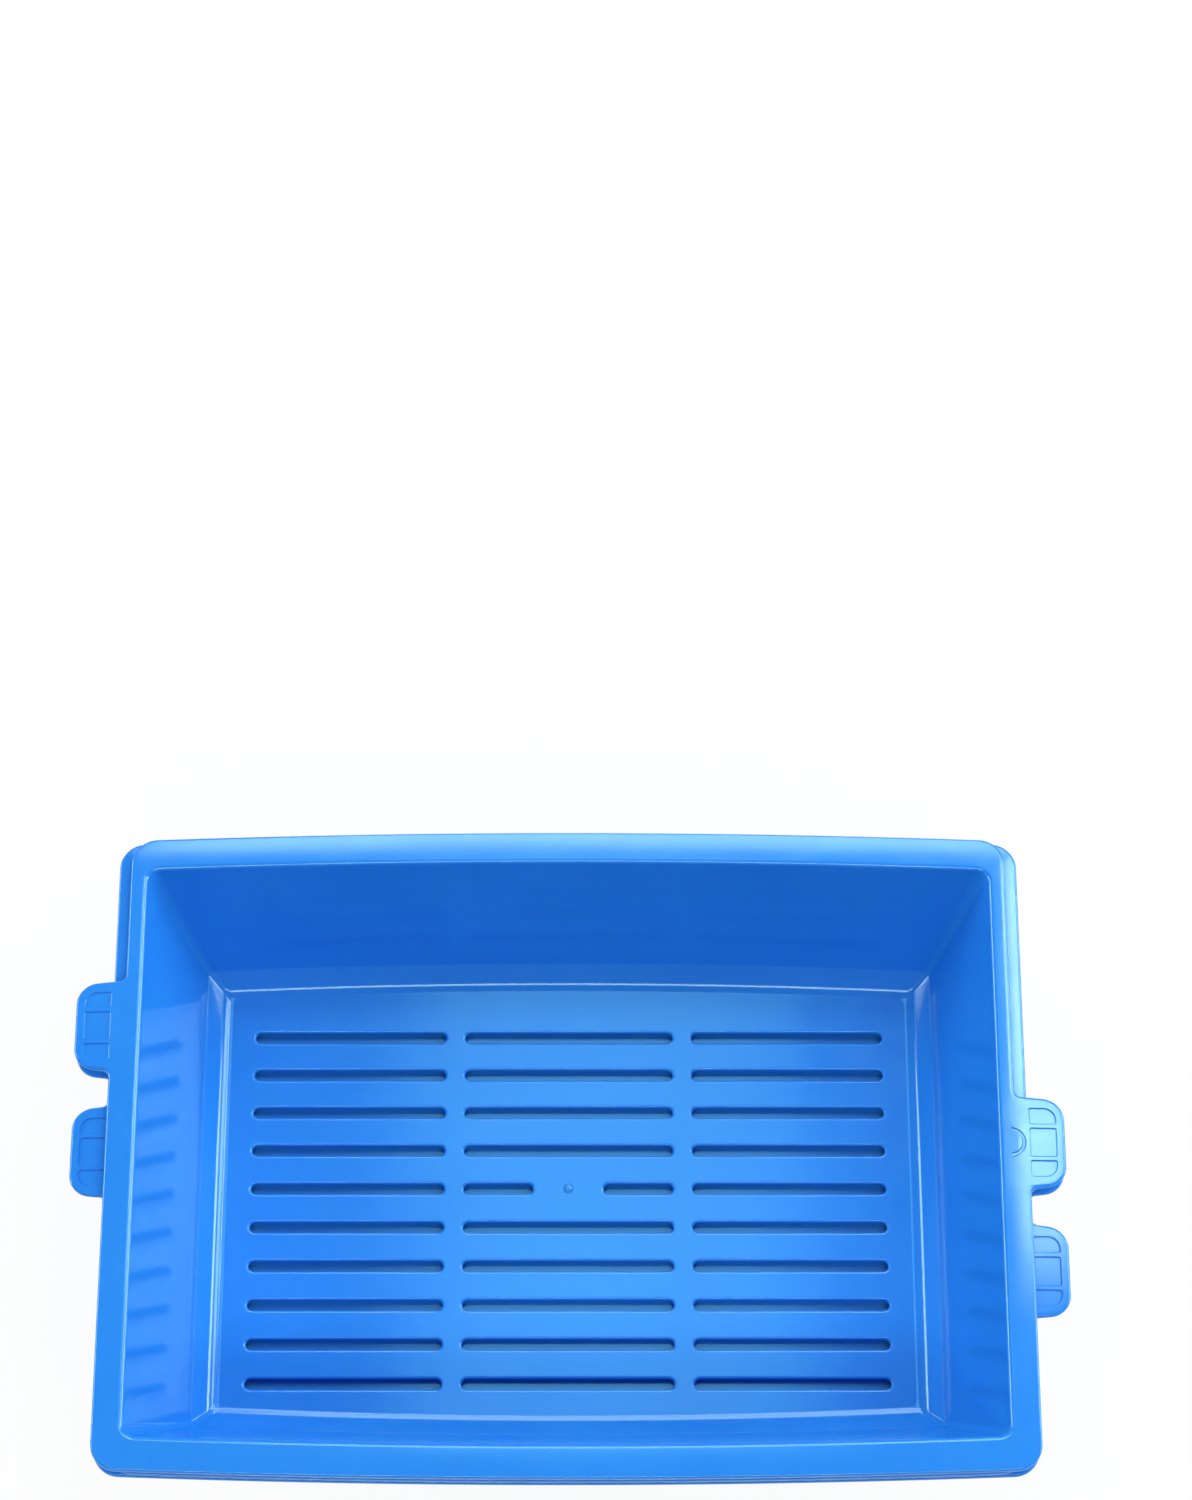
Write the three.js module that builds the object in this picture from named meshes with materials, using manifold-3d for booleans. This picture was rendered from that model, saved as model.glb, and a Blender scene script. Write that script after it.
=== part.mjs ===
// Sifting litter box: two solid pans with a slotted tray nested on top.
// Millimetres, +Z up, X along the long sides. The origin is under the middle of the stack.
import * as THREE from 'three';
import { mergeVertices } from 'three/addons/utils/BufferGeometryUtils.js';
import Module from 'manifold-3d';

const wasm = await Module();
wasm.setup();

// Tub, the same in all three trays
const MOUTH_LENGTH = 421;
const MOUTH_WIDTH = 287;
const MOUTH_CORNER_RADIUS = 6;
const MOUTH_EDGE_ROUND = 2.8;
const SIDE_BOW = 4.3;
const TRAY_DEPTH = 91.5;
const DRAFT_ANGLE = THREE.MathUtils.degToRad(16.5);
const BEVEL_RUN = 6.5;
const BEVEL_RISE = 9.2;
const BEVEL_FOOT_ROUND = 5.5;
const BEVEL_TOP_ROUND = 3;
const FLOOR_CORNER_RADIUS = 2.5;
const WALL = 1.4;
const FLOOR_THICKNESS = 1.8;

// Rim flange with its turned-down lip
const SIDE_FLANGE = 16;
const WIDE_END_FLANGE = 14.5;
const NARROW_END_FLANGE = 8;
const FLANGE_THICKNESS = 1.6;
const LIP_HEIGHT = 3;
const LIP_THICKNESS = 1.8;
const LIP_ROUND = 0.9;
const RIM_CORNER_RADIUS = 12.5;

// Finger tabs, one on each short end
const TAB_REACH = 17.5;
const TAB_ROOT_WIDTH = 47;
const TAB_TIP_WIDTH = 43;
const TAB_CORNER_RADIUS = 11;
const TAB_ROOT_FILLET = 3.5;
const MIDDLE_TAB_SHIFT = 1.5;
const OFFSET_TAB_SHIFT = 61.5;
const TAB_BORDER = 4;
const TAB_RELIEF = 0.7;
const TAB_RIB_SPACING = 16.4;
const TAB_RIB_WIDTH = 1.6;
const RELIEF_CORNER_RADIUS = 1.2;
const HALF_ROUND_RADIUS = 7.5;
const HALF_ROUND_LINE = 2.2;
const HALF_ROUND_SETBACK = 5.5;

// Slots and gate mark in the sifting tray's floor
const SLOT_ROWS = 10;
const SLOT_WIDTH = 5.5;
const SLOT_CHAMFER = 1.3;
const FRONT_ROW_MARGIN = 14.4;
const BACK_ROW_MARGIN = 23.6;
const MIDDLE_SLOT_LENGTH = 106.4;
const OUTER_SLOT_LENGTH = 98;
const SLOT_WEB = 10;
const SPLIT_ROW = 4;
const SPLIT_BRIDGE = 36;
const GATE_RADIUS = 2.6;
const GATE_HEIGHT = 0.8;

// Stack
const NEST_STEP = 6;

// Mesh steps and the overrun of every cut
const CORNER_STEPS = 4;
const SLOT_CORNER_STEPS = 3;
const PROFILE_STEPS = 3;
const EDGE_STEPS = 2;
const SIDE_STEPS = 8;
const CUT_OVERRUN = 2;
const CIRCLE_SIDES = 16;

const TRAY_HEIGHT = TRAY_DEPTH + FLOOR_THICKNESS;
const WALL_ACROSS = WALL / Math.cos(DRAFT_ANGLE);
const QUARTER_TURN = Math.PI / 2;

function plastic(colour) {
  return new THREE.MeshStandardMaterial({ color: colour, roughness: 0.28, metalness: 0 });
}

// Closed geometry to solid, and back
function solidOf(geometry) {
  geometry.deleteAttribute('normal');
  geometry.deleteAttribute('uv');
  const merged = mergeVertices(geometry);
  return new wasm.Manifold(new wasm.Mesh({
    numProp: 3,
    vertProperties: new Float32Array(merged.attributes.position.array),
    triVerts: new Uint32Array(merged.index.array),
  }));
}

function geometryOf(solid) {
  const mesh = solid.getMesh();
  const geometry = new THREE.BufferGeometry();
  geometry.setAttribute('position', new THREE.BufferAttribute(mesh.vertProperties, mesh.numProp));
  geometry.setIndex(new THREE.BufferAttribute(mesh.triVerts, 1));
  geometry.computeVertexNormals();
  return geometry;
}

// Points round a rounded rectangle, counter-clockwise, with its long sides bowed out
function ring({ halfLength, halfWidth, radius, z, bow, steps }) {
  const points = [];
  const cornerX = halfLength - radius;
  const cornerY = halfWidth - radius;
  for (let quarter = 0; quarter < 4; quarter += 1) {
    const signX = quarter === 0 || quarter === 3 ? 1 : -1;
    const signY = quarter < 2 ? 1 : -1;
    for (let step = 0; step <= steps; step += 1) {
      const angle = (quarter + step / steps) * QUARTER_TURN;
      const x = signX * cornerX + radius * Math.cos(angle);
      const y = signY * cornerY + radius * Math.sin(angle);
      points.push([x, y]);
    }
    const startsLongSide = bow > 0 && quarter % 2 === 0;
    for (let step = 1; startsLongSide && step < SIDE_STEPS; step += 1) {
      points.push([signX * cornerX * (1 - (2 * step) / SIDE_STEPS), signY * halfWidth]);
    }
  }
  return points.map(([x, y]) => {
    const outward = Math.sign(y) * bow * (1 - (x / halfLength) ** 2);
    return [x, y + outward, z];
  });
}

// Solid through rings of equal point counts, from the lowest to the highest
function loft(rings) {
  const count = rings[0].length;
  const index = [];
  for (let level = 0; level + 1 < rings.length; level += 1) {
    for (let i = 0; i < count; i += 1) {
      const low = level * count;
      const high = low + count;
      const next = (i + 1) % count;
      index.push(low + i, low + next, high + next);
      index.push(low + i, high + next, high + i);
    }
  }
  const top = (rings.length - 1) * count;
  for (let i = 1; i + 1 < count; i += 1) {
    index.push(0, i + 1, i);
    index.push(top, top + i, top + i + 1);
  }
  const geometry = new THREE.BufferGeometry();
  geometry.setAttribute('position', new THREE.Float32BufferAttribute(rings.flat(2), 3));
  geometry.setIndex(index);
  return solidOf(geometry);
}

// Outline with each corner [x, y, radius] rounded, convex or concave
function roundedOutline(corners, steps = CORNER_STEPS) {
  const points = [];
  corners.forEach(([x, y, radius], i) => {
    if (radius === 0) {
      points.push(new THREE.Vector2(x, y));
      return;
    }
    const [beforeX, beforeY] = corners[(i + corners.length - 1) % corners.length];
    const [afterX, afterY] = corners[(i + 1) % corners.length];
    const corner = new THREE.Vector2(x, y);
    const back = new THREE.Vector2(beforeX, beforeY).sub(corner).normalize();
    const ahead = new THREE.Vector2(afterX, afterY).sub(corner).normalize();
    const halfAngle = Math.acos(THREE.MathUtils.clamp(back.dot(ahead), -1, 1)) / 2;
    const middle = back.clone().add(ahead).normalize();
    const centre = corner.clone().addScaledVector(middle, radius / Math.sin(halfAngle));
    const start = corner.clone().addScaledVector(back, radius / Math.tan(halfAngle)).sub(centre);
    const turn = Math.sign(ahead.cross(back)) * (Math.PI - 2 * halfAngle);
    for (let step = 0; step <= steps; step += 1) {
      const angle = (turn * step) / steps;
      points.push(start.clone().rotateAround(new THREE.Vector2(), angle).add(centre));
    }
  });
  return points;
}

// How far a wall face lies inside the mouth at a height
function wallInset(z, outward) {
  return (TRAY_HEIGHT - z) * Math.tan(DRAFT_ANGLE) - outward;
}

// Levels of one face of the tub, from the flat floor's edge over the bevel and up the wall.
// The corners above the bevel are [inset, z, radius].
function faceLevels(floorZ, outward, addedRound, upperCorners) {
  const footInset = wallInset(floorZ, outward) + BEVEL_RUN;
  const topZ = floorZ + BEVEL_RISE;
  const corners = [
    [footInset + BEVEL_RUN, floorZ, 0],
    [footInset, floorZ, BEVEL_FOOT_ROUND + addedRound],
    [wallInset(topZ, outward), topZ, BEVEL_TOP_ROUND + addedRound],
    ...upperCorners,
  ];
  const points = roundedOutline(corners, PROFILE_STEPS).slice(1);
  return points.map((point) => ({ inset: point.x, z: point.y }));
}

function tubRing({ inset, z }, outward) {
  const heightShare = Math.min(z / TRAY_HEIGHT, 1);
  const wallCorner = FLOOR_CORNER_RADIUS
    + (MOUTH_CORNER_RADIUS - FLOOR_CORNER_RADIUS) * heightShare;
  const beyondMouth = Math.max(0, -inset - outward);
  return ring({
    halfLength: MOUTH_LENGTH / 2 - inset,
    halfWidth: MOUTH_WIDTH / 2 - inset,
    radius: wallCorner + outward + beyondMouth,
    z,
    bow: SIDE_BOW,
    steps: CORNER_STEPS,
  });
}

function outerTub() {
  const underFlange = TRAY_HEIGHT - FLANGE_THICKNESS / 2;
  const top = [wallInset(underFlange, WALL_ACROSS), underFlange, 0];
  const levels = faceLevels(0, WALL_ACROSS, WALL, [top]);
  return loft(levels.map((level) => tubRing(level, WALL_ACROSS)));
}

// Room inside the tub, with the mouth's edge rounded over
function tubCavity() {
  const levels = faceLevels(FLOOR_THICKNESS, 0, 0, [
    [0, TRAY_HEIGHT, MOUTH_EDGE_ROUND],
    [-NARROW_END_FLANGE, TRAY_HEIGHT, 0],
  ]).slice(0, -1);
  const edge = levels[levels.length - 1];
  levels.push({ inset: edge.inset, z: edge.z + CUT_OVERRUN });
  return loft(levels.map((level) => tubRing(level, 0)));
}

// Rim seen from above, moved inward by inset. The +X end has its tab near the middle and the
// -X end has it off to +Y. At both ends the flange is wide on the -Y side of its tab.
function rimOutline(inset) {
  const wideX = MOUTH_LENGTH / 2 + WIDE_END_FLANGE - inset;
  const narrowX = MOUTH_LENGTH / 2 + NARROW_END_FLANGE - inset;
  const tipX = MOUTH_LENGTH / 2 + WIDE_END_FLANGE + TAB_REACH - inset;
  const sideY = MOUTH_WIDTH / 2 + SIDE_FLANGE - inset;
  const rootHalf = TAB_ROOT_WIDTH / 2 - inset;
  const tipHalf = TAB_TIP_WIDTH / 2 - inset;
  const outside = RIM_CORNER_RADIUS - inset;
  const tip = TAB_CORNER_RADIUS - inset;
  const root = TAB_ROOT_FILLET + inset;
  const bowPoints = (sign) => {
    const points = [];
    for (let step = 1; step < SIDE_STEPS; step += 1) {
      const share = 1 - (2 * step) / SIDE_STEPS;
      points.push([sign * narrowX * share, sign * (sideY + SIDE_BOW * (1 - share ** 2)), 0]);
    }
    return points;
  };
  return roundedOutline([
    [wideX, -sideY, outside],
    [wideX, MIDDLE_TAB_SHIFT - rootHalf, root],
    [tipX, MIDDLE_TAB_SHIFT - tipHalf, tip],
    [tipX, MIDDLE_TAB_SHIFT + tipHalf, tip],
    [narrowX, MIDDLE_TAB_SHIFT + rootHalf, root],
    [narrowX, sideY, outside],
    ...bowPoints(1),
    [-narrowX, sideY, outside],
    [-narrowX, OFFSET_TAB_SHIFT + rootHalf, root],
    [-tipX, OFFSET_TAB_SHIFT + tipHalf, tip],
    [-tipX, OFFSET_TAB_SHIFT - tipHalf, tip],
    [-wideX, OFFSET_TAB_SHIFT - rootHalf, root],
    [-wideX, -sideY, outside],
    ...bowPoints(-1),
  ]);
}

function prism(outline, bottom, top) {
  const geometry = new THREE.ExtrudeGeometry(new THREE.Shape(outline), {
    depth: top - bottom,
    bevelEnabled: false,
  });
  geometry.translate(0, 0, bottom);
  return solidOf(geometry);
}

// Flange plate with a lip round its edge and a hollow behind the lip
function flange() {
  const lipBottom = TRAY_HEIGHT - LIP_HEIGHT;
  const plate = new THREE.ExtrudeGeometry(new THREE.Shape(rimOutline(0)), {
    depth: LIP_HEIGHT - 2 * LIP_ROUND,
    bevelThickness: LIP_ROUND,
    bevelSize: LIP_ROUND,
    bevelOffset: -LIP_ROUND,
    bevelSegments: EDGE_STEPS,
  });
  plate.translate(0, 0, lipBottom + LIP_ROUND);
  const underside = TRAY_HEIGHT - FLANGE_THICKNESS;
  const hollow = prism(rimOutline(LIP_THICKNESS), lipBottom - CUT_OVERRUN, underside);
  return solidOf(plate).subtract(hollow);
}

// Shallow panels between the border and the ribs of a tab whose middle is at y
function tabPanels(side, y) {
  const near = MOUTH_LENGTH / 2 + WIDE_END_FLANGE;
  const far = near + TAB_REACH - TAB_BORDER;
  const ribEdge = (TAB_RIB_SPACING - TAB_RIB_WIDTH) / 2;
  const outerNear = (TAB_RIB_SPACING + TAB_RIB_WIDTH) / 2;
  const outerFar = TAB_TIP_WIDTH / 2 - TAB_BORDER;
  const farRound = outerFar - outerNear - 2 * RELIEF_CORNER_RADIUS;
  const panels = [
    { low: -ribEdge, high: ribEdge, lowRound: RELIEF_CORNER_RADIUS, highRound: RELIEF_CORNER_RADIUS },
    { low: outerNear, high: outerFar, lowRound: RELIEF_CORNER_RADIUS, highRound: farRound },
    { low: -outerFar, high: -outerNear, lowRound: farRound, highRound: RELIEF_CORNER_RADIUS },
  ];
  return panels.map(({ low, high, lowRound, highRound }) => {
    const corners = [
      [near, y + low, RELIEF_CORNER_RADIUS],
      [far, y + low, lowRound],
      [far, y + high, highRound],
      [near, y + high, RELIEF_CORNER_RADIUS],
    ].map(([x, cornerY, radius]) => [side * x, cornerY, radius]);
    const outline = roundedOutline(side > 0 ? corners : corners.reverse());
    return prism(outline, TRAY_HEIGHT - TAB_RELIEF, TRAY_HEIGHT + CUT_OVERRUN);
  });
}

// Half-round line pressed into the flange at the root of the middle tab
function halfRoundMark() {
  const outline = new THREE.Path()
    .absarc(0, 0, HALF_ROUND_RADIUS, -QUARTER_TURN, QUARTER_TURN)
    .absarc(0, 0, HALF_ROUND_RADIUS - HALF_ROUND_LINE, QUARTER_TURN, -QUARTER_TURN, true)
    .getPoints(CIRCLE_SIDES / 2);
  const mark = prism(outline, TRAY_HEIGHT - TAB_RELIEF, TRAY_HEIGHT + CUT_OVERRUN);
  return mark.translate([MOUTH_LENGTH / 2 + HALF_ROUND_SETBACK, MIDDLE_TAB_SHIFT, 0]);
}

// One tray with its floor at the origin, solid all over
function pan() {
  let solid = flange().add(outerTub()).subtract(tubCavity());
  for (const panel of [...tabPanels(1, MIDDLE_TAB_SHIFT), ...tabPanels(-1, OFFSET_TAB_SHIFT)]) {
    solid = solid.subtract(panel);
  }
  return solid.subtract(halfRoundMark());
}

// Round-ended slot through the floor, chamfered where the litter enters
function slotCutter(length) {
  const chamferStart = FLOOR_THICKNESS - SLOT_CHAMFER;
  const level = (z, widen) => ring({
    halfLength: length / 2 + widen,
    halfWidth: SLOT_WIDTH / 2 + widen,
    radius: SLOT_WIDTH / 2 + widen,
    z,
    bow: 0,
    steps: SLOT_CORNER_STEPS,
  });
  return loft([
    level(-CUT_OVERRUN, 0),
    level(chamferStart, 0),
    level(FLOOR_THICKNESS, SLOT_CHAMFER),
    level(FLOOR_THICKNESS + CUT_OVERRUN, SLOT_CHAMFER),
  ]);
}

// Slots of one row as [middle x, length]
function rowSlots(row) {
  const outerX = MIDDLE_SLOT_LENGTH / 2 + SLOT_WEB + OUTER_SLOT_LENGTH / 2;
  const outer = [[-outerX, OUTER_SLOT_LENGTH], [outerX, OUTER_SLOT_LENGTH]];
  if (row !== SPLIT_ROW) {
    return [...outer, [0, MIDDLE_SLOT_LENGTH]];
  }
  const shortLength = (MIDDLE_SLOT_LENGTH - SPLIT_BRIDGE) / 2;
  const shortX = (SPLIT_BRIDGE + shortLength) / 2;
  return [...outer, [-shortX, shortLength], [shortX, shortLength]];
}

// Middle of a row, counted from the back. The margins reach from the feet of the bevels.
function rowY(row) {
  const floorHalfWidth = MOUTH_WIDTH / 2 - wallInset(FLOOR_THICKNESS, 0) - BEVEL_RUN;
  const backY = floorHalfWidth - BACK_ROW_MARGIN;
  const frontY = FRONT_ROW_MARGIN - floorHalfWidth;
  return backY - ((backY - frontY) * row) / (SLOT_ROWS - 1);
}

// Low round mark where the plastic was fed in, in the bridge of the split row
function gateMark() {
  const root = FLOOR_THICKNESS / 2;
  const height = FLOOR_THICKNESS + GATE_HEIGHT - root;
  const geometry = new THREE.CylinderGeometry(GATE_RADIUS, GATE_RADIUS, height, CIRCLE_SIDES);
  geometry.rotateX(QUARTER_TURN);
  geometry.translate(0, rowY(SPLIT_ROW), root + height / 2);
  return solidOf(geometry);
}

function siftingTray() {
  let solid = pan();
  for (let row = 0; row < SLOT_ROWS; row += 1) {
    for (const [x, length] of rowSlots(row)) {
      solid = solid.subtract(slotCutter(length).translate([x, rowY(row), 0]));
    }
  }
  return solid.add(gateMark());
}

// Each tray is turned end for end from the one below, so that the tabs don't lie above each other
function placed(name, solid, level, colour) {
  const mesh = new THREE.Mesh(geometryOf(solid), plastic(colour));
  mesh.name = name;
  mesh.position.z = level * NEST_STEP;
  mesh.rotation.z = level % 2 === 1 ? Math.PI : 0;
  return mesh;
}

const litterBox = new THREE.Group();
litterBox.add(placed('bottom_pan', pan(), 0, 0x2f86ee));
litterBox.add(placed('middle_pan', pan(), 1, 0x2f86ee));
litterBox.add(placed('sifting_tray', siftingTray(), 2, 0x2f86ee));

export default litterBox;
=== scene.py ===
# Sifting litter box: three nested blue plastic trays on a white studio floor.
# Metres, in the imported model's frame: X along the long sides, +Z up.
import math

import bmesh
import bpy
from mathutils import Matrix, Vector


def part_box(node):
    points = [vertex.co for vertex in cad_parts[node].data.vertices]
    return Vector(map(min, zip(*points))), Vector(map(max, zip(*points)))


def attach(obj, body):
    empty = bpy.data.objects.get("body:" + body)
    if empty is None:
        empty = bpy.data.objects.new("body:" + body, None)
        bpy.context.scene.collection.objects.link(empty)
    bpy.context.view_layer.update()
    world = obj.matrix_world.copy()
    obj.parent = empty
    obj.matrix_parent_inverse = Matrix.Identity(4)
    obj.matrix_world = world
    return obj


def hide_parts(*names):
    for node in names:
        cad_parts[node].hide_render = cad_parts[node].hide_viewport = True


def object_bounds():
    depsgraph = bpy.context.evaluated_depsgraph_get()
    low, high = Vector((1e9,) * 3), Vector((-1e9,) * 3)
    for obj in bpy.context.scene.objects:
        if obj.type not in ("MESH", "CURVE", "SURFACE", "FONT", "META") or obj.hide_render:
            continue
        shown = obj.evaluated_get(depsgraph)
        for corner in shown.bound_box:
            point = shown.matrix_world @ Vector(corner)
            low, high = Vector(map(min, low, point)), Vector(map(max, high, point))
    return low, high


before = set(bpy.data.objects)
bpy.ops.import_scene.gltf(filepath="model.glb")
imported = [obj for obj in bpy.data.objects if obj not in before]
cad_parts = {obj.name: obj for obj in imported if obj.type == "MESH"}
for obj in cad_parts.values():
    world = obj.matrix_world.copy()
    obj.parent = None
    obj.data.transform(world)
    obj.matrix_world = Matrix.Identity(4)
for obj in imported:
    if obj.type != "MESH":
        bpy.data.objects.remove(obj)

MM = 0.001

cad_low, cad_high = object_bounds()
tray_low, tray_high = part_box("bottom_pan")
TRAY_HEIGHT = tray_high[2] - tray_low[2]
NEST_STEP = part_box("middle_pan")[0][2] - tray_low[2]

# Rim flange
SIDE_FLANGE = 16 * MM
WIDE_END_FLANGE = 14.5 * MM
NARROW_END_FLANGE = 8 * MM
FLANGE_THICKNESS = 1.6 * MM
LIP_HEIGHT = 3 * MM
LIP_THICKNESS = 1.8 * MM
LIP_ROUND = 1.3 * MM
LIP_FOOT_CHAMFER = LIP_ROUND / 2
RIM_CORNER_RADIUS = 12.5 * MM
FLANGE_EDGE_SLOPE = math.tan(math.radians(3.2))

# Finger tabs
TAB_REACH = 17.5 * MM
TAB_ROOT_WIDTH = 47 * MM
TAB_TIP_WIDTH = 43 * MM
TAB_CORNER_RADIUS = 11 * MM
TAB_ROOT_FILLET = 3.5 * MM
MIDDLE_TAB_SHIFT = 1.5 * MM
OFFSET_TAB_SHIFT = 61.5 * MM
TAB_BORDER = 4 * MM
TAB_RELIEF = 0.7 * MM
TAB_RIB_SPACING = 16.4 * MM
TAB_RIB_WIDTH = 1.6 * MM
RELIEF_CORNER_RADIUS = 1.2 * MM
RELIEF_RUN = 0.6 * MM
HALF_ROUND_RADIUS = 7.5 * MM
HALF_ROUND_LINE = 2.2 * MM
HALF_ROUND_SETBACK = 5.5 * MM

# Tub
SIDE_BOW = 4.3 * MM
MOUTH_LENGTH = 2 * (tray_high[0] - TAB_REACH - WIDE_END_FLANGE)
MOUTH_WIDTH = 2 * (tray_high[1] - SIDE_BOW - SIDE_FLANGE)
MOUTH_CORNER_RADIUS = 6 * MM
MOUTH_EDGE_ROUND = 2.8 * MM
DRAFT_ANGLE = math.radians(16.5)
BEVEL_RUN = 6.5 * MM
BEVEL_RISE = 9.2 * MM
BEVEL_FOOT_ROUND = 9 * MM
BEVEL_TOP_ROUND = 3 * MM
FLOOR_CORNER_RADIUS = 2.5 * MM
WALL = 1.4 * MM
FLOOR_THICKNESS = 1.8 * MM

# Slots and gate mark
SLOT_ROWS = 10
SLOT_WIDTH = 5.5 * MM
SLOT_ROUND = 1.4 * MM
FRONT_ROW_MARGIN = 14.4 * MM
BACK_ROW_MARGIN = 23.6 * MM
MIDDLE_SLOT_LENGTH = 106.4 * MM
OUTER_SLOT_LENGTH = 98 * MM
SLOT_WEB = 10 * MM
SPLIT_ROW = 4
SPLIT_BRIDGE = 36 * MM
GATE_RADIUS = 2.6 * MM
GATE_HEIGHT = 0.8 * MM

# Mesh steps
CORNER_STEPS = 12
PROFILE_STEPS = 10
EDGE_STEPS = 6
SIDE_STEPS = 48
END_STEPS = 12
FLANGE_STEPS = 4
SLOT_STEPS = 8
OVERRUN = 2 * MM
SMALLEST_MITRE = 0.3
SHARP_ANGLE = math.radians(38)

# Plastic. Its glow is the light that spreads under the surface.
BLUE_A = (0.018, 0.22, 0.73, 1)
BLUE_B = (0.022, 0.238, 0.76, 1)
GLOSS_TINT = (0.6, 0.95, 1.0, 1)
GLOSS_LEVEL = 0.7
GLOW_SHARE = 0.3
GLOW_RADIUS = (0.08, 0.35, 1.0)
GLOW_DEPTH = 4 * MM
REFRACTION = 1.49
LOWEST_ROUGHNESS = 0.1
HIGHEST_ROUGHNESS = 0.14

# Noise in the plastic: clouds in its colour and in its gloss, waves in its walls, and a grain.
# Scales are in cells per metre.
NOISE_LOW = 0.3
NOISE_HIGH = 0.7
CLOUD_SCALE = 14
CLOUD_DETAIL = 3
GLOSS_SCALE = 42
GLOSS_DETAIL = 4
WAVE_SCALE = 9
WAVE_DETAIL = 1
WAVE_STRENGTH = 0.35
WAVE_HEIGHT = 1.2 * MM
GRAIN_SCALE = 900
GRAIN_DETAIL = 2
GRAIN_STRENGTH = 0.04
GRAIN_HEIGHT = 0.2 * MM

# Studio
FLOOR_SIZE = 60.0
FLOOR_GREY = 0.8
FLOOR_ROUGHNESS = 0.7
BACKDROP_SHARE = 0.93
WORLD_STRENGTH = 0.2
WHITE = (1, 1, 1)
COOL = (0.4, 0.85, 1)

# Lamps as (name, place, target, size, radiance, colour).
# ceiling_panel shines back from the middle of the floor, back_panel from the back rim,
# right_strip from the right rim and right_panel from the left wall.
# back_softbox lights the edges of the slots, and the other three light the walls.
LAMPS = (
    ("ceiling_panel", (0.02, 0.60, 2.1), (0.02, 0.60, 0), (0.40, 0.7), 2.8, COOL),
    ("back_panel", (0.2, 1.26, 2.1), (0.2, 1.26, 0), (1.35, 0.36), 7.5, WHITE),
    ("right_strip", (0.66, 0.77, 2.1), (0.66, 0.77, 0), (0.22, 0.46), 14.0, WHITE),
    ("back_softbox", (0.1, 2.0, 1.7), (0, 0, 0), (0.9, 1.2), 5.0, WHITE),
    ("right_panel", (1.58, 0.95, 2.1), (0, 0, 0), (0.85, 0.85), 7.0, WHITE),
    ("right_softbox", (2.1, 0.5, 0.75), (0, 0, 0), (1.3, 0.8), 10.0, WHITE),
    ("left_softbox", (-2.1, 0.5, 0.75), (0, 0, 0), (1.3, 0.8), 8.0, WHITE),
    ("front_fill", (0, -1.45, 1.75), (0, 0, 0), (1.8, 0.4), 8.2, WHITE),
)

# Camera, as fitted to the photograph's lower view
PHOTO_HEIGHT_PX = 1500
FOCAL_PX = 4029
SENSOR_HEIGHT = 24.0
CAMERA_PLACE = Vector((0.0140, -0.590, cad_high[2] + 1.878))
CAMERA_PITCH = math.radians(66.965)

WALL_ACROSS = WALL / math.cos(DRAFT_ANGLE)
QUARTER_TURN = math.pi / 2
RIM_Y = MOUTH_WIDTH / 2 + SIDE_FLANGE
WIDE_X = MOUTH_LENGTH / 2 + WIDE_END_FLANGE


# Outlines in plan

def rounded_outline(corners, steps):
    """Points round a closed outline whose corners (x, y, radius) are rounded."""
    points = []
    for i, (x, y, radius) in enumerate(corners):
        corner = Vector((x, y))
        if radius == 0:
            points.append((x, y))
            continue
        back = (Vector(corners[i - 1][:2]) - corner).normalized()
        ahead = (Vector(corners[(i + 1) % len(corners)][:2]) - corner).normalized()
        half_angle = back.angle(ahead) / 2
        centre = corner + (back + ahead).normalized() * (radius / math.sin(half_angle))
        start = corner + back * (radius / math.tan(half_angle)) - centre
        cross = ahead.x * back.y - ahead.y * back.x
        turn = math.copysign(math.pi - 2 * half_angle, cross)
        for step in range(steps + 1):
            cosine = math.cos(turn * step / steps)
            sine = math.sin(turn * step / steps)
            points.append((
                centre.x + start.x * cosine - start.y * sine,
                centre.y + start.x * sine + start.y * cosine,
            ))
    return points


def offset(points, distance):
    """The closed outline moved inward by distance. The mitre holds its sharpest corners back."""
    moved = []
    for i, point in enumerate(points):
        here = Vector(point)
        before = (here - Vector(points[i - 1])).normalized()
        after = (Vector(points[(i + 1) % len(points)]) - here).normalized()
        normal = (Vector((-before.y, before.x)) + Vector((-after.y, after.x))).normalized()
        reach = distance / max(SMALLEST_MITRE, normal.dot(Vector((-before.y, before.x))))
        moved.append(tuple(here + normal * reach))
    return moved


def bow_at(x, half_length):
    """How far a long side stands out at x, for a tray or ring of that half length."""
    return SIDE_BOW * max(0.0, 1 - (x / half_length) ** 2)


def bowed(points, half_length):
    """The points moved outward with the bow of the long sides."""
    return [(x, y + math.copysign(bow_at(x, half_length), y)) for x, y in points]


def tab_profile(shift):
    """Edge of a short end past its tab, from -Y to +Y, as (distance outside the mouth, y)."""
    reach = WIDE_END_FLANGE + TAB_REACH
    corners = [
        (WIDE_END_FLANGE, -RIM_Y, 0),
        (WIDE_END_FLANGE, shift - TAB_ROOT_WIDTH / 2, TAB_ROOT_FILLET),
        (reach, shift - TAB_TIP_WIDTH / 2, TAB_CORNER_RADIUS),
        (reach, shift + TAB_TIP_WIDTH / 2, TAB_CORNER_RADIUS),
        (NARROW_END_FLANGE, shift + TAB_ROOT_WIDTH / 2, TAB_ROOT_FILLET),
        (NARROW_END_FLANGE, RIM_Y, 0),
        (-RIM_Y, 0, 0),
    ]
    # The first corner and the last two only close the outline.
    return rounded_outline(corners, CORNER_STEPS)[1:-2]


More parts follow.
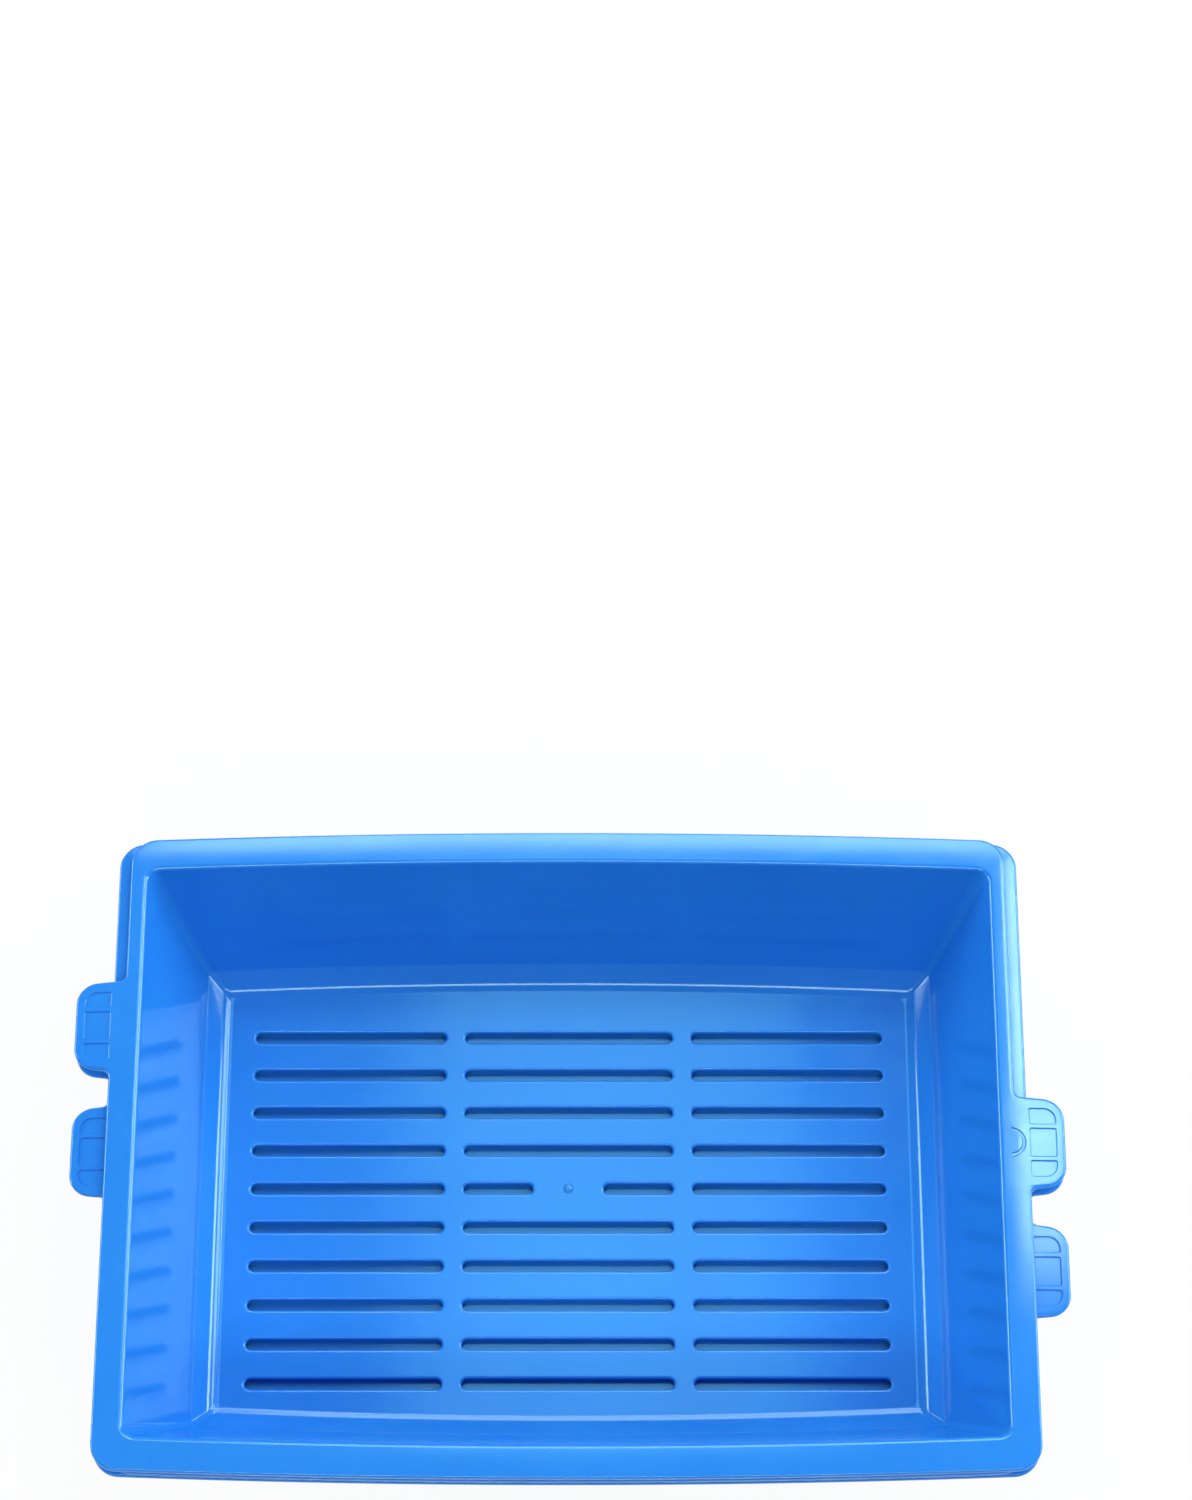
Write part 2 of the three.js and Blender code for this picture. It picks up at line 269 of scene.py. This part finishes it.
def end_stations(side):
    """Places along a short end: its straight flange, its tab and its straight flange again."""
    profile = tab_profile(MIDDLE_TAB_SHIFT if side > 0 else OFFSET_TAB_SHIFT)
    straight = RIM_Y - RIM_CORNER_RADIUS
    bottom = profile[0][1]
    top = profile[-1][1]
    low = [(WIDE_END_FLANGE, -straight + (bottom + straight) * i / END_STEPS) for i in range(END_STEPS)]
    high = [(NARROW_END_FLANGE, top + (straight - top) * (i + 1) / END_STEPS) for i in range(END_STEPS)]
    return [("end", side, y / straight, out) for out, y in low + profile + high]


def side_stations(side, out):
    return [("side", side, side * (1 - 2 * i / SIDE_STEPS), out) for i in range(SIDE_STEPS + 1)]


def corner_stations(quarter, out):
    return [("corner", quarter, i / CORNER_STEPS, out) for i in range(1, CORNER_STEPS)]


# Places round a tray, counter-clockwise, as (kind, which, share along it, flange width).
# Every ring of the mesh has one point at each.
STATIONS = (
    end_stations(1)
    + corner_stations(0, NARROW_END_FLANGE)
    + side_stations(1, NARROW_END_FLANGE)
    + corner_stations(1, NARROW_END_FLANGE)
    + end_stations(-1)[::-1]
    + corner_stations(2, WIDE_END_FLANGE)
    + side_stations(-1, WIDE_END_FLANGE)
    + corner_stations(3, WIDE_END_FLANGE)
)


def station_point(station, half_length, half_width, radius):
    """Where a station lies on a rounded rectangle. Quarter 0 is the corner at +X, +Y."""
    kind, which, share, _ = station
    if kind == "end":
        return (which * half_length, share * (half_width - radius))
    if kind == "side":
        return (share * (half_length - radius), which * half_width)
    sign_x = 1 if which in (0, 3) else -1
    sign_y = 1 if which < 2 else -1
    angle = (which + share) * QUARTER_TURN
    return (
        sign_x * (half_length - radius) + radius * math.cos(angle),
        sign_y * (half_width - radius) + radius * math.sin(angle),
    )


def rim_outline():
    """Outer edge of the flange and the tabs in plan."""
    points = []
    for station in STATIONS:
        half_length = MOUTH_LENGTH / 2 + station[3]
        point = station_point(station, half_length, RIM_Y, RIM_CORNER_RADIUS)
        points += bowed([point], half_length)
    return points


# Heights and rings of one tray that stands on the origin

def flange_top(x, y):
    """Height of the flange's top face: level at the mouth, then falling ever more outward."""
    across = max(0.0, abs(x) - MOUTH_LENGTH / 2, abs(y) - bow_at(x, WIDE_X) - MOUTH_WIDTH / 2)
    curved = min(across, SIDE_FLANGE)
    return TRAY_HEIGHT - FLANGE_EDGE_SLOPE * (curved ** 2 / (2 * SIDE_FLANGE) + across - curved)


def wall_inset(z, outward):
    """How far a wall face lies inside the mouth at height z."""
    return (TRAY_HEIGHT - z) * math.tan(DRAFT_ANGLE) - outward


def face_levels(floor_z, outward, added_round, upper_corners):
    """(inset, z) of one face of the tub, from the flat floor's edge over the bevel and up."""
    foot_inset = wall_inset(floor_z, outward) + BEVEL_RUN
    top_z = floor_z + BEVEL_RISE
    corners = [
        (foot_inset + BEVEL_RUN, floor_z, 0),
        (foot_inset, floor_z, BEVEL_FOOT_ROUND + added_round),
        (wall_inset(top_z, outward), top_z, BEVEL_TOP_ROUND + added_round),
        *upper_corners,
    ]
    # The first corner only gives the floor's direction.
    return rounded_outline(corners, PROFILE_STEPS)[1:]


def tub_ring(inset, z, outward):
    """The tub's outline at one height. Its corners widen upward and with the wall's thickness."""
    height_share = min(z / TRAY_HEIGHT, 1)
    wall_corner = FLOOR_CORNER_RADIUS + (MOUTH_CORNER_RADIUS - FLOOR_CORNER_RADIUS) * height_share
    radius = wall_corner + outward + max(0.0, -inset - outward)
    half_length = MOUTH_LENGTH / 2 - inset
    half_width = MOUTH_WIDTH / 2 - inset
    points = [station_point(station, half_length, half_width, radius) for station in STATIONS]
    return [(x, y, z) for x, y in bowed(points, half_length)]


def cavity_rings():
    """From the floor's edge up the inner wall and over the mouth's rounded edge."""
    upper = [(0, TRAY_HEIGHT, MOUTH_EDGE_ROUND), (-NARROW_END_FLANGE, TRAY_HEIGHT, 0)]
    levels = face_levels(FLOOR_THICKNESS, 0, 0, upper)[:-1]
    return [tub_ring(inset, z, 0) for inset, z in levels]


def flange_rings(mouth_edge):
    """From the mouth's edge out over the flange, down round the lip and back in under it."""
    outline = rim_outline()
    rounding_start = offset(outline, LIP_ROUND)
    rings = []
    for step in range(1, FLANGE_STEPS):
        share = step / FLANGE_STEPS
        ring = []
        for (inner_x, inner_y, _), (outer_x, outer_y) in zip(mouth_edge, rounding_start):
            x = inner_x + (outer_x - inner_x) * share
            y = inner_y + (outer_y - inner_y) * share
            ring.append((x, y, flange_top(x, y)))
        rings.append(ring)
    for step in range(EDGE_STEPS + 1):
        angle = QUARTER_TURN * step / EDGE_STEPS
        edge = offset(outline, LIP_ROUND * (1 - math.sin(angle)))
        drop = LIP_ROUND * (1 - math.cos(angle))
        rings.append([(x, y, flange_top(x, y) - drop) for x, y in edge])
    lip_bottom = TRAY_HEIGHT - LIP_HEIGHT
    behind_lip = offset(outline, LIP_THICKNESS)
    rings.append([(x, y, lip_bottom + LIP_FOOT_CHAMFER) for x, y in outline])
    rings.append([(x, y, lip_bottom) for x, y in offset(outline, LIP_FOOT_CHAMFER)])
    rings.append([(x, y, lip_bottom) for x, y in behind_lip])
    rings.append([(x, y, flange_top(x, y) - FLANGE_THICKNESS) for x, y in behind_lip])
    return rings


def outer_rings():
    """From under the flange down the outer wall to the edge of the underside."""
    under = TRAY_HEIGHT - FLANGE_THICKNESS
    levels = face_levels(0, WALL_ACROSS, WALL, [(wall_inset(under, WALL_ACROSS), under, 0)])
    return [tub_ring(inset, z, WALL_ACROSS) for inset, z in reversed(levels)]


# Meshes

def add_loft(mesh, rings):
    """Adds a closed solid through rings of equal point counts, capped at both ends."""
    rows = [[mesh.verts.new(point) for point in ring] for ring in rings]
    count = len(rows[0])
    for low, high in zip(rows, rows[1:]):
        for i in range(count):
            following = (i + 1) % count
            mesh.faces.new((low[i], low[following], high[following], high[i]))
    mesh.faces.new(rows[0][::-1])
    mesh.faces.new(rows[-1])


def new_object(name, mesh):
    """Turns a finished mesh into an object of the scene."""
    bmesh.ops.recalc_face_normals(mesh, faces=mesh.faces)
    data = bpy.data.meshes.new(name)
    mesh.to_mesh(data)
    mesh.free()
    obj = bpy.data.objects.new(name, data)
    bpy.context.scene.collection.objects.link(obj)
    return obj


def stadium(x, y, length, widen):
    """Plan points of a round-ended slot."""
    radius = SLOT_WIDTH / 2 + widen
    reach = length / 2 - SLOT_WIDTH / 2
    points = []
    for side in (1, -1):
        for step in range(SLOT_STEPS + 1):
            angle = math.pi * step / SLOT_STEPS - side * QUARTER_TURN
            points.append((x + side * reach + radius * math.cos(angle), y + radius * math.sin(angle)))
    return points


def slot_rings(x, y, length):
    """A slot's cutter, from under the floor up to the wide end of its rounded edge."""
    rings = [[(px, py, -OVERRUN) for px, py in stadium(x, y, length, 0)]]
    for step in range(EDGE_STEPS + 1):
        angle = QUARTER_TURN * step / EDGE_STEPS
        z = FLOOR_THICKNESS - SLOT_ROUND * (1 - math.sin(angle))
        points = stadium(x, y, length, SLOT_ROUND * (1 - math.cos(angle)))
        rings.append([(px, py, z) for px, py in points])
    top = stadium(x, y, length, SLOT_ROUND)
    return rings + [[(px, py, FLOOR_THICKNESS + OVERRUN) for px, py in top]]


def row_y(row):
    """Middle of a row, counted from the back. The margins reach from the feet of the bevels."""
    floor_half_width = MOUTH_WIDTH / 2 - wall_inset(FLOOR_THICKNESS, 0) - BEVEL_RUN
    back_y = floor_half_width - BACK_ROW_MARGIN
    front_y = FRONT_ROW_MARGIN - floor_half_width
    return back_y - (back_y - front_y) * row / (SLOT_ROWS - 1)


def row_slots(row):
    """Slots of one row as (middle x, length)."""
    outer_x = MIDDLE_SLOT_LENGTH / 2 + SLOT_WEB + OUTER_SLOT_LENGTH / 2
    outer = [(-outer_x, OUTER_SLOT_LENGTH), (outer_x, OUTER_SLOT_LENGTH)]
    if row != SPLIT_ROW:
        return outer + [(0, MIDDLE_SLOT_LENGTH)]
    short = (MIDDLE_SLOT_LENGTH - SPLIT_BRIDGE) / 2
    short_x = (SPLIT_BRIDGE + short) / 2
    return outer + [(-short_x, short), (short_x, short)]


def relief_rings(outline):
    """A shallow recess in the flange's top, whose sides slope on past the surface."""
    deep = offset(outline, RELIEF_RUN)
    wide = offset(outline, -RELIEF_RUN)
    return [
        [(x, y, flange_top(x, y) - TAB_RELIEF) for x, y in deep],
        [(x, y, flange_top(x, y) + TAB_RELIEF) for x, y in wide],
    ]


def tab_panels(side, middle):
    """Outlines of the recesses between a tab's border and its ribs."""
    near = WIDE_X
    far = near + TAB_REACH - TAB_BORDER
    rib_edge = (TAB_RIB_SPACING - TAB_RIB_WIDTH) / 2
    outer_near = (TAB_RIB_SPACING + TAB_RIB_WIDTH) / 2
    outer_far = TAB_TIP_WIDTH / 2 - TAB_BORDER
    small = RELIEF_CORNER_RADIUS
    large = outer_far - outer_near - 2 * small
    panels = [
        (-rib_edge, rib_edge, small, small),
        (outer_near, outer_far, small, large),
        (-outer_far, -outer_near, large, small),
    ]
    outlines = []
    for low, high, low_round, high_round in panels:
        corners = [
            (side * near, middle + low, small),
            (side * far, middle + low, low_round),
            (side * far, middle + high, high_round),
            (side * near, middle + high, small),
        ]
        outlines.append(rounded_outline(corners if side > 0 else corners[::-1], CORNER_STEPS // 2))
    return outlines


def half_round():
    """Outline of the half-round line at the root of the middle tab."""
    flat_x = MOUTH_LENGTH / 2 + HALF_ROUND_SETBACK
    sweep = [-QUARTER_TURN + math.pi * step / (2 * CORNER_STEPS) for step in range(2 * CORNER_STEPS + 1)]
    inner = HALF_ROUND_RADIUS - HALF_ROUND_LINE
    points = []
    for radius, angles in ((HALF_ROUND_RADIUS, sweep), (inner, sweep[::-1])):
        for angle in angles:
            points.append((flat_x + radius * math.cos(angle), MIDDLE_TAB_SHIFT + radius * math.sin(angle)))
    return points


def cutters(slotted):
    """Everything that is cut from one tray, as one object."""
    mesh = bmesh.new()
    panels = tab_panels(1, MIDDLE_TAB_SHIFT) + tab_panels(-1, OFFSET_TAB_SHIFT)
    for outline in panels + [half_round()]:
        add_loft(mesh, relief_rings(outline))
    if slotted:
        for row in range(SLOT_ROWS):
            for x, length in row_slots(row):
                add_loft(mesh, slot_rings(x, row_y(row), length))
    return new_object("cutters", mesh)


def gate_rings():
    """A low dome where the plastic was fed in, rooted inside the floor."""
    levels = [(GATE_RADIUS, FLOOR_THICKNESS / 2)]
    for step in range(EDGE_STEPS):
        angle = QUARTER_TURN * step / EDGE_STEPS
        levels.append((GATE_RADIUS * math.cos(angle), FLOOR_THICKNESS + GATE_HEIGHT * math.sin(angle)))
    sides = 4 * CORNER_STEPS
    rings = []
    for radius, z in levels:
        turns = [2 * math.pi * i / sides for i in range(sides)]
        rings.append([(radius * math.cos(t), row_y(SPLIT_ROW) + radius * math.sin(t), z) for t in turns])
    return rings


def cut_out(obj, cutter):
    """Takes the cutter out of the object, and removes it."""
    cut = obj.modifiers.new("cut", "BOOLEAN")
    cut.operation = "DIFFERENCE"
    cut.solver = "MANIFOLD"
    cut.object = cutter
    evaluated = obj.evaluated_get(bpy.context.evaluated_depsgraph_get())
    finished = bpy.data.meshes.new_from_object(evaluated)
    finished.materials.clear()
    obj.modifiers.clear()
    obj.data = finished
    bpy.data.objects.remove(cutter)


def add_gate_mark(data):
    mesh = bmesh.new()
    mesh.from_mesh(data)
    add_loft(mesh, gate_rings())
    bmesh.ops.recalc_face_normals(mesh, faces=mesh.faces)
    mesh.to_mesh(data)
    mesh.free()


def stack(data, level):
    """Lifts a tray's mesh to its level, and turns it end for end on odd levels."""
    turn = -1 if level % 2 else 1
    for vertex in data.vertices:
        x, y, z = vertex.co
        vertex.co = (turn * x, turn * y, z + level * NEST_STEP)


def smooth(obj):
    """Shades the rounds as one surface and keeps the sharp edges."""
    obj.data.shade_smooth()
    obj.data.set_sharp_from_angle(angle=SHARP_ANGLE)
    weighted = obj.modifiers.new("weighted normals", "WEIGHTED_NORMAL")
    weighted.mode = "FACE_AREA"
    weighted.keep_sharp = True


def tray(name, level, slotted):
    """One moulding in its place in the stack."""
    mesh = bmesh.new()
    inside = cavity_rings()
    add_loft(mesh, inside + flange_rings(inside[-1]) + outer_rings())
    obj = new_object(name, mesh)
    cut_out(obj, cutters(slotted))
    if slotted:
        add_gate_mark(obj.data)
    stack(obj.data, level)
    smooth(obj)
    return obj


# Materials

def add_noise(tree, place, scale, detail):
    node = tree.nodes.new("ShaderNodeTexNoise")
    node.inputs["Scale"].default_value = scale
    node.inputs["Detail"].default_value = detail
    tree.links.new(place, node.inputs["Vector"])
    return node.outputs["Fac"]


def add_ramp(tree, noise, low, high):
    """Stretches a noise so that it runs from low to high."""
    node = tree.nodes.new("ShaderNodeMapRange")
    node.inputs["From Min"].default_value = NOISE_LOW
    node.inputs["From Max"].default_value = NOISE_HIGH
    node.inputs["To Min"].default_value = low
    node.inputs["To Max"].default_value = high
    tree.links.new(noise, node.inputs["Value"])
    return node.outputs["Result"]


def add_bump(tree, noise, strength, height):
    node = tree.nodes.new("ShaderNodeBump")
    node.inputs["Strength"].default_value = strength
    node.inputs["Distance"].default_value = height
    tree.links.new(noise, node.inputs["Height"])
    return node


def plastic():
    """Glossy blue moulded plastic, with faint flow clouds, a fine grain and slightly wavy walls."""
    material = bpy.data.materials.new("blue_plastic")
    material.use_nodes = True
    tree = material.node_tree
    shader = tree.nodes["Principled BSDF"]
    shader.inputs["IOR"].default_value = REFRACTION
    shader.inputs["Specular IOR Level"].default_value = GLOSS_LEVEL
    shader.inputs["Specular Tint"].default_value = GLOSS_TINT
    shader.inputs["Subsurface Weight"].default_value = GLOW_SHARE
    shader.inputs["Subsurface Radius"].default_value = GLOW_RADIUS
    shader.inputs["Subsurface Scale"].default_value = GLOW_DEPTH
    place = tree.nodes.new("ShaderNodeTexCoord").outputs["Object"]

    colour = tree.nodes.new("ShaderNodeMix")
    colour.data_type = "RGBA"
    colour.inputs["A"].default_value = BLUE_A
    colour.inputs["B"].default_value = BLUE_B
    clouds = add_ramp(tree, add_noise(tree, place, CLOUD_SCALE, CLOUD_DETAIL), 0, 1)
    tree.links.new(clouds, colour.inputs["Factor"])
    tree.links.new(colour.outputs["Result"], shader.inputs["Base Color"])

    gloss = add_noise(tree, place, GLOSS_SCALE, GLOSS_DETAIL)
    roughness = add_ramp(tree, gloss, LOWEST_ROUGHNESS, HIGHEST_ROUGHNESS)
    tree.links.new(roughness, shader.inputs["Roughness"])

    waves = add_bump(tree, add_noise(tree, place, WAVE_SCALE, WAVE_DETAIL), WAVE_STRENGTH, WAVE_HEIGHT)
    grain = add_bump(tree, add_noise(tree, place, GRAIN_SCALE, GRAIN_DETAIL), GRAIN_STRENGTH, GRAIN_HEIGHT)
    tree.links.new(waves.outputs["Normal"], grain.inputs["Normal"])
    tree.links.new(grain.outputs["Normal"], shader.inputs["Normal"])
    return material


def floor_material():
    """White floor that keeps a soft shadow and reads as pure white round it."""
    material = bpy.data.materials.new("white_floor")
    material.use_nodes = True
    nodes = material.node_tree.nodes
    links = material.node_tree.links
    shader = nodes["Principled BSDF"]
    shader.inputs["Base Color"].default_value = (FLOOR_GREY, FLOOR_GREY, FLOOR_GREY, 1)
    shader.inputs["Roughness"].default_value = FLOOR_ROUGHNESS
    glow = nodes.new("ShaderNodeEmission")
    path = nodes.new("ShaderNodeLightPath")
    seen = path.outputs["Is Camera Ray"]
    for ray in ("Is Glossy Ray", "Is Transmission Ray"):
        either = nodes.new("ShaderNodeMath")
        either.operation = "MAXIMUM"
        links.new(seen, either.inputs[0])
        links.new(path.outputs[ray], either.inputs[1])
        seen = either.outputs["Value"]
    share = nodes.new("ShaderNodeMath")
    share.operation = "MULTIPLY"
    share.inputs[1].default_value = BACKDROP_SHARE
    links.new(seen, share.inputs[0])
    mix = nodes.new("ShaderNodeMixShader")
    links.new(share.outputs["Value"], mix.inputs["Fac"])
    links.new(shader.outputs["BSDF"], mix.inputs[1])
    links.new(glow.outputs["Emission"], mix.inputs[2])
    links.new(mix.outputs["Shader"], nodes["Material Output"].inputs["Surface"])
    return material


# Stage, lights and camera

def add_floor():
    mesh = bmesh.new()
    bmesh.ops.create_grid(mesh, x_segments=1, y_segments=1, size=FLOOR_SIZE / 2)
    floor = new_object("studio_floor", mesh)
    floor.data.materials.append(floor_material())


def add_lamp(name, place, target, size, radiance, colour):
    """Adds a rectangular lamp whose brightness is the same at any size."""
    data = bpy.data.lights.new(name, "AREA")
    data.shape = "RECTANGLE"
    data.size, data.size_y = size
    data.energy = radiance * math.pi * size[0] * size[1]
    data.color = colour
    lamp = bpy.data.objects.new(name, data)
    lamp.location = place
    lamp.rotation_euler = (Vector(target) - Vector(place)).to_track_quat("-Z", "Y").to_euler()
    bpy.context.scene.collection.objects.link(lamp)


def add_world():
    world = bpy.data.worlds.new("studio")
    world.use_nodes = True
    background = world.node_tree.nodes["Background"]
    background.inputs["Color"].default_value = (1, 1, 1, 1)
    background.inputs["Strength"].default_value = WORLD_STRENGTH
    bpy.context.scene.world = world


def add_camera():
    data = bpy.data.cameras.new("camera")
    data.sensor_fit = "VERTICAL"
    data.sensor_height = SENSOR_HEIGHT
    data.lens = FOCAL_PX / PHOTO_HEIGHT_PX * SENSOR_HEIGHT
    camera = bpy.data.objects.new("camera", data)
    camera.location = CAMERA_PLACE
    camera.rotation_euler = (QUARTER_TURN - CAMERA_PITCH, 0, 0)
    bpy.context.scene.collection.objects.link(camera)
    bpy.context.scene.camera = camera


def main():
    blue = plastic()
    for level, name in enumerate(("bottom_pan", "middle_pan", "sifting_tray")):
        slotted = name == "sifting_tray"
        piece = tray(name + "_moulding", level, slotted)
        piece.data.materials.append(blue)
        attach(piece, name)
        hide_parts(name)
    add_floor()
    add_world()
    for lamp in LAMPS:
        add_lamp(*lamp)
    add_camera()
    bpy.context.scene.view_settings.view_transform = "Standard"


main()
